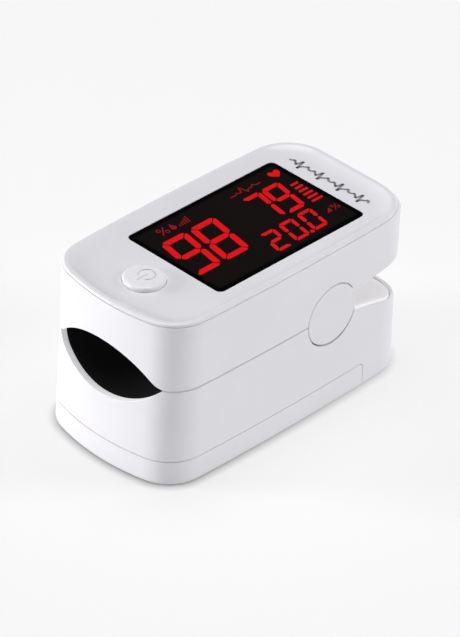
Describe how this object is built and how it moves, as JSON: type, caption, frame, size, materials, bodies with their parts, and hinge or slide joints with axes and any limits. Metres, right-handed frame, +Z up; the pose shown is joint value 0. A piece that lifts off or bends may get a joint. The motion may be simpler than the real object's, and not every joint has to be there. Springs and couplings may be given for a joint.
{
  "type": "fingertip pulse oximeter",
  "caption": "Fingertip pulse oximeter: a white spring-loaded clip with black finger pads, a segment display, a push button and a sliding battery cover.",
  "frame": {"origin": "middle of the base, the plane the device rests on", "axes": "+X across the device, +Y along the finger from the opening to the squeeze end, +Z up through the display"},
  "size_m": [0.0324, 0.0608, 0.0327],
  "materials": {
    "shell_white": "satin moulded ABS",
    "panel_white": "satin moulded ABS with a polished rim",
    "deck_white": "satin moulded ABS",
    "liner_white": "moulded ABS, as it comes from the tool",
    "button_white": "satin moulded ABS",
    "pad_black": "soft silicone, fine matt texture",
    "window_black": "dark tinted acrylic, polished",
    "optic_clear": "clear epoxy window",
    "display_grey": "segment display reflector",
    "board_green": "fibreglass board with solder mask",
    "chip_black": "moulded epoxy package",
    "smd_tan": "ceramic chip parts",
    "switch_metal": "tin-plated frame",
    "buzzer_black": "moulded housing",
    "steel": "plain ground steel",
    "spring_steel": "drawn spring wire",
    "screw_steel": "zinc-plated screw steel",
    "contact_nickel": "nickel-plated spring steel",
    "cell_wrap": "printed can with bare ends",
    "flex_amber": "polyimide flat cable"
  },
  "bodies": {
    "base": {"lower_shell": "shell_white", "lower_inner_shell": "deck_white", "lower_finger_pad": "pad_black", "sensor_board": "board_green", "sensor_lens": "optic_clear", "battery_left": "cell_wrap", "battery_right": "cell_wrap", "front_link_contact": "contact_nickel", "rear_contact_left": "contact_nickel", "rear_contact_right": "contact_nickel", "battery_springs": "contact_nickel", "hinge_axle": "steel", "hinge_cap_left": "shell_white", "hinge_cap_right": "shell_white", "torsion_spring_left": "spring_steel", "torsion_spring_right": "spring_steel", "flex_cable": "flex_amber", "lower_screws": "screw_steel"},
    "upper_jaw": {"upper_shell": "shell_white", "top_panel": "panel_white", "display_window": "window_black", "display_module": "display_grey", "main_board": "board_green", "controller_chip": "chip_black", "board_components": "smd_tan", "tact_switch": "switch_metal", "buzzer": "buzzer_black", "emitter_board": "board_green", "emitter_lens": "optic_clear", "upper_inner_shell": "liner_white", "upper_finger_pad": "pad_black", "upper_screws": "screw_steel"},
    "button": {"power_button": "button_white", "switch_plunger": "chip_black"},
    "cover": {"battery_cover": "shell_white"}
  },
  "joints": [
    {"name": "jaw_hinge", "type": "hinge", "parent": "base", "child": "upper_jaw", "pos_m": [0, 0.0092, 0.019], "axis": [-1, 0, 0], "range_deg": [0, 23], "stiffness_Nm_per_rad": 0.06, "springref_deg": -20.05, "deforming": ["torsion_spring_left", "torsion_spring_right", "flex_cable"]},
    {"name": "power_button_press", "type": "slide", "parent": "upper_jaw", "child": "button", "axis": [0, 0, -1], "range_m": [0, 0.00045], "stiffness_N_per_m": 1500, "springref_m": -0.0006},
    {"name": "battery_cover_slide", "type": "slide", "parent": "base", "child": "cover", "axis": [0, -1, 0], "range_m": [0, 0.048]}
  ]
}
